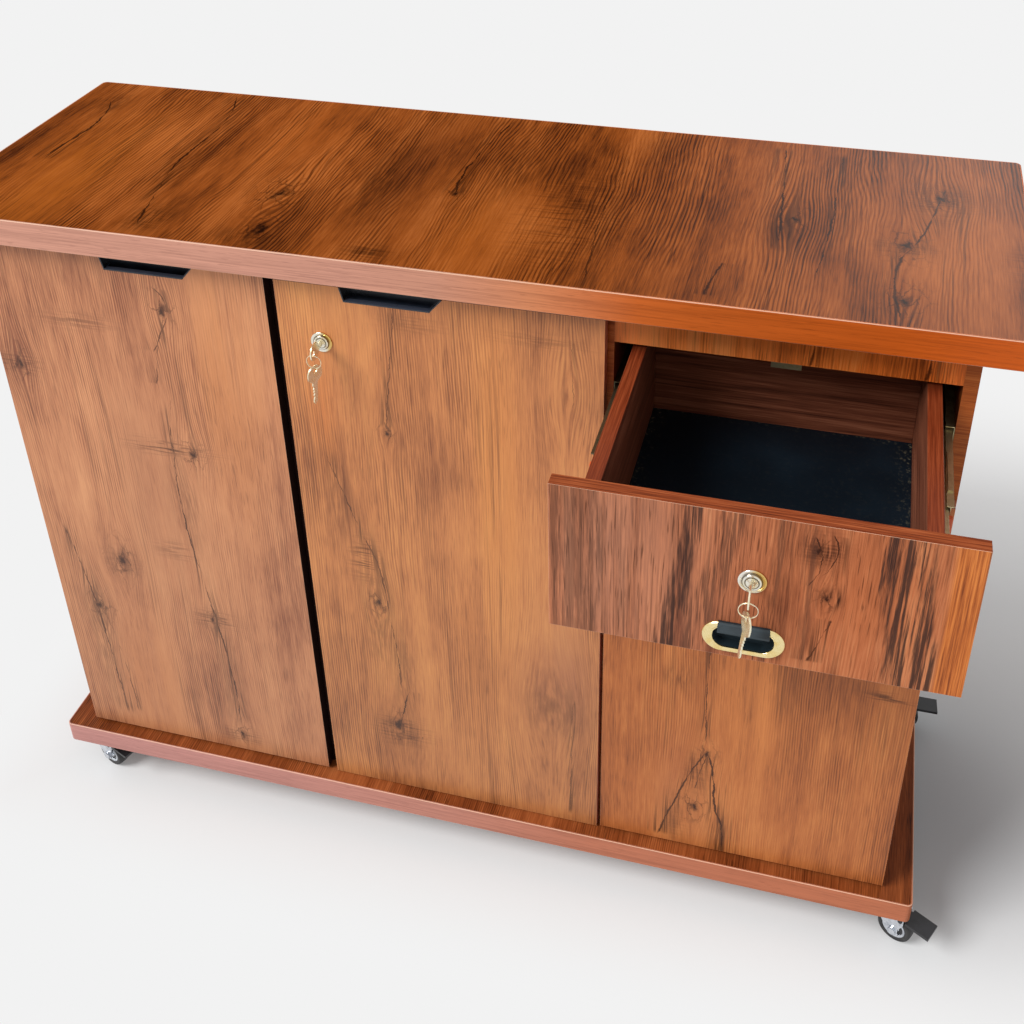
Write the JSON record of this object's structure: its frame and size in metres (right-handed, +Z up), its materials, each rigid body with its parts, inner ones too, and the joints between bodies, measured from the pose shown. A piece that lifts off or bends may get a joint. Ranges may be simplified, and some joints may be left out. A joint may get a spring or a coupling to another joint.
{
  "type": "sideboard",
  "caption": "Three-bay sideboard on braked castors, with cup-hinged doors, let-in pulls, a lockable drawer on telescopic slides and keys on rings",
  "frame": {"origin": "on the floor, centred under the bounding box of the part with its drawer pulled out and castors turned as at rest", "axes": "+X along the worktop towards the drawer column, +Y from the doors to the back, +Z up"},
  "size_m": [1.3624, 0.7544, 1.02],
  "materials": {
    "worktop_laminate": "satin printed walnut laminate with front to back grain",
    "base_laminate": "satin printed walnut laminate",
    "edge_laminate": "satin mahogany edge band",
    "carcass_laminate": "satin printed walnut laminate",
    "door_laminate": "satin printed walnut laminate with upright grain",
    "drawer_front_laminate": "satin rosewood laminate with upright grain",
    "drawer_box_laminate": "satin mahogany laminate",
    "drawer_bottom_board": "black faced board",
    "zinc_screws": "bright zinc",
    "nickel_hinge": "nickel plate",
    "black_pull": "black anodised",
    "slide_steel": "zinc plated sheet",
    "orange_plastic": "moulded",
    "lock_chrome": "polished",
    "key_nickel": "nickel plate",
    "gold_bezel": "satin gold",
    "black_insert": "semi gloss",
    "castor_zinc": "bright zinc",
    "castor_tyre": "black tread",
    "pedal_black": "moulded"
  },
  "bodies": {
    "cabinet": {"worktop_panel": "worktop_laminate", "base_panel": "base_laminate", "worktop_edge_band": "edge_laminate", "base_edge_band": "edge_laminate", "side_panels": "carcass_laminate", "partition_panels": "carcass_laminate", "back_panel": "carcass_laminate", "top_rails": "carcass_laminate", "drawer_divider": "carcass_laminate", "shelves": "carcass_laminate", "shelf_pins": "zinc_screws", "assembly_screws": "zinc_screws", "fixing_screws": "zinc_screws", "hinge_arms": "nickel_hinge", "slide_outer_members": "slide_steel", "lock_strikes": "slide_steel", "castor_plates": "castor_zinc"},
    "left_door": {"left_door_panel": "door_laminate", "left_door_pull": "black_pull", "left_door_hinge_cups": "nickel_hinge"},
    "left_door_links": {"left_door_hinge_links": "nickel_hinge"},
    "middle_door": {"middle_door_panel": "door_laminate", "middle_door_pull": "black_pull", "middle_door_hinge_cups": "nickel_hinge", "door_lock_housing": "lock_chrome"},
    "middle_door_links": {"middle_door_hinge_links": "nickel_hinge"},
    "lower_door": {"lower_door_panel": "door_laminate", "lower_door_pull": "black_pull", "lower_door_hinge_cups": "nickel_hinge"},
    "lower_door_links": {"lower_door_hinge_links": "nickel_hinge"},
    "door_lock": {"door_lock_plug": "lock_chrome", "door_lock_key": "key_nickel"},
    "door_keys": {"door_key_ring": "key_nickel"},
    "drawer": {"drawer_front": "drawer_front_laminate", "drawer_sides": "drawer_box_laminate", "drawer_back": "drawer_box_laminate", "drawer_bottom": "drawer_bottom_board", "drawer_pull_bezel": "gold_bezel", "drawer_pull_insert": "black_insert", "slide_inner_members": "slide_steel", "drawer_packers": "drawer_box_laminate", "drawer_lock_housing": "lock_chrome"},
    "slide_middles": {"slide_middle_members": "slide_steel"},
    "left_lever": {"left_release_lever": "orange_plastic"},
    "right_lever": {"right_release_lever": "orange_plastic"},
    "drawer_lock": {"drawer_lock_plug": "lock_chrome", "drawer_lock_key": "key_nickel"},
    "drawer_keys": {"drawer_key_ring": "key_nickel"},
    "front_right_castor": {"front_right_castor_fork": "castor_zinc"},
    "front_right_wheel": {"front_right_castor_wheel": "castor_tyre"},
    "front_right_brake": {"front_right_castor_brake": "pedal_black"},
    "back_right_castor": {"back_right_castor_fork": "castor_zinc"},
    "back_right_wheel": {"back_right_castor_wheel": "castor_tyre"},
    "back_right_brake": {"back_right_castor_brake": "pedal_black"},
    "front_left_castor": {"front_left_castor_fork": "castor_zinc"},
    "front_left_wheel": {"front_left_castor_wheel": "castor_tyre"},
    "front_left_brake": {"front_left_castor_brake": "pedal_black"},
    "back_left_castor": {"back_left_castor_fork": "castor_zinc"},
    "back_left_wheel": {"back_left_castor_wheel": "castor_tyre"},
    "back_left_brake": {"back_left_castor_brake": "pedal_black"}
  },
  "joints": [
    {"name": "left_door_hinge", "type": "hinge", "parent": "cabinet", "child": "left_door", "pos_m": [-0.62317, -0.04775, 0.53925], "axis": [0, 0, -1], "range_deg": [0, 90]},
    {"name": "left_link_pivot", "type": "hinge", "parent": "cabinet", "child": "left_door_links", "pos_m": [-0.61097, -0.03225, 0.53925], "axis": [0, 0, -1], "range_deg": [0, 76.6]},
    {"name": "middle_door_hinge", "type": "hinge", "parent": "cabinet", "child": "middle_door", "pos_m": [0.18733, -0.04775, 0.53625], "axis": [0, 0, 1], "range_deg": [0, 90]},
    {"name": "middle_link_pivot", "type": "hinge", "parent": "cabinet", "child": "middle_door_links", "pos_m": [0.17513, -0.03225, 0.53625], "axis": [0, 0, 1], "range_deg": [0, 76.6]},
    {"name": "lower_door_hinge", "type": "hinge", "parent": "cabinet", "child": "lower_door", "pos_m": [0.59283, -0.04775, 0.442], "axis": [0, 0, 1], "range_deg": [0, 90]},
    {"name": "lower_link_pivot", "type": "hinge", "parent": "cabinet", "child": "lower_door_links", "pos_m": [0.58063, -0.03225, 0.442], "axis": [0, 0, 1], "range_deg": [0, 76.6]},
    {"name": "door_lock_turn", "type": "hinge", "parent": "middle_door", "child": "door_lock", "pos_m": [-0.15807, -0.05275, 0.8888], "axis": [0, 1, 0], "range_deg": [0, 90]},
    {"name": "door_keys_swing", "type": "hinge", "parent": "door_lock", "child": "door_keys", "pos_m": [-0.15807, -0.08075, 0.8828], "axis": [0, 1, 0], "range_deg": [-90, 0]},
    {"name": "drawer_slide", "type": "slide", "parent": "cabinet", "child": "drawer", "axis": [0, -1, 0], "range_m": [-0.285, 0.015]},
    {"name": "middle_slide", "type": "slide", "parent": "cabinet", "child": "slide_middles", "axis": [0, -1, 0], "range_m": [-0.1425, 0.0075]},
    {"name": "left_lever_pivot", "type": "hinge", "parent": "slide_middles", "child": "left_lever", "pos_m": [0.20523, -0.14925, 0.852], "axis": [1, 0, 0], "range_deg": [-5, 5]},
    {"name": "right_lever_pivot", "type": "hinge", "parent": "slide_middles", "child": "right_lever", "pos_m": [0.57843, -0.14925, 0.852], "axis": [1, 0, 0], "range_deg": [-5, 5]},
    {"name": "drawer_lock_turn", "type": "hinge", "parent": "drawer", "child": "drawer_lock", "pos_m": [0.39493, -0.33775, 0.8813], "axis": [0, -1, 0], "range_deg": [0, 90]},
    {"name": "drawer_keys_swing", "type": "hinge", "parent": "drawer_lock", "child": "drawer_keys", "pos_m": [0.39493, -0.36575, 0.8753], "axis": [0, -1, 0], "range_deg": [-90, 0]},
    {"name": "front_right_swivel", "type": "hinge", "parent": "cabinet", "child": "front_right_castor", "pos_m": [0.60683, -0.03775, 0.056], "axis": [0, 0, 1], "continuous": true},
    {"name": "front_right_wheel_spin", "type": "hinge", "parent": "front_right_castor", "child": "front_right_wheel", "pos_m": [0.62644, -0.04774, 0.025], "axis": [0.454, 0.891, 0], "continuous": true},
    {"name": "front_right_brake_pivot", "type": "hinge", "parent": "front_right_castor", "child": "front_right_brake", "pos_m": [0.63445, -0.05182, 0.053], "axis": [-0.454, -0.891, 0], "range_deg": [0, 5]},
    {"name": "back_right_swivel", "type": "hinge", "parent": "cabinet", "child": "back_right_castor", "pos_m": [0.60683, 0.34225, 0.056], "axis": [0, 0, 1], "continuous": true},
    {"name": "back_right_wheel_spin", "type": "hinge", "parent": "back_right_castor", "child": "back_right_wheel", "pos_m": [0.6288, 0.3434, 0.025], "axis": [-0.0523, 0.9986, 0], "continuous": true},
    {"name": "back_right_brake_pivot", "type": "hinge", "parent": "back_right_castor", "child": "back_right_brake", "pos_m": [0.63779, 0.34387, 0.053], "axis": [0.0523, -0.9986, 0], "range_deg": [0, 5]},
    {"name": "front_left_swivel", "type": "hinge", "parent": "cabinet", "child": "front_left_castor", "pos_m": [-0.63717, -0.03775, 0.056], "axis": [0, 0, 1], "continuous": true},
    {"name": "front_left_wheel_spin", "type": "hinge", "parent": "front_left_castor", "child": "front_left_wheel", "pos_m": [-0.61649, -0.04527, 0.025], "axis": [0.342, 0.9397, 0], "continuous": true},
    {"name": "front_left_brake_pivot", "type": "hinge", "parent": "front_left_castor", "child": "front_left_brake", "pos_m": [-0.60803, -0.04835, 0.053], "axis": [-0.342, -0.9397, 0], "range_deg": [0, 5]},
    {"name": "back_left_swivel", "type": "hinge", "parent": "cabinet", "child": "back_left_castor", "pos_m": [-0.63717, 0.34225, 0.056], "axis": [0, 0, 1], "continuous": true},
    {"name": "back_left_wheel_spin", "type": "hinge", "parent": "back_left_castor", "child": "back_left_wheel", "pos_m": [-0.61565, 0.33768, 0.025], "axis": [0.2079, 0.9781, 0], "continuous": true},
    {"name": "back_left_brake_pivot", "type": "hinge", "parent": "back_left_castor", "child": "back_left_brake", "pos_m": [-0.60684, 0.33581, 0.053], "axis": [-0.2079, -0.9781, 0], "range_deg": [0, 5]}
  ],
  "couplings": [
    {"joint": "left_link_pivot", "follows": "left_door_hinge", "ratio": 0.8504},
    {"joint": "middle_link_pivot", "follows": "middle_door_hinge", "ratio": 0.8504},
    {"joint": "lower_link_pivot", "follows": "lower_door_hinge", "ratio": 0.8504},
    {"joint": "door_keys_swing", "follows": "door_lock_turn", "ratio": -1},
    {"joint": "middle_slide", "follows": "drawer_slide", "ratio": 0.5},
    {"joint": "drawer_keys_swing", "follows": "drawer_lock_turn", "ratio": -1}
  ]
}
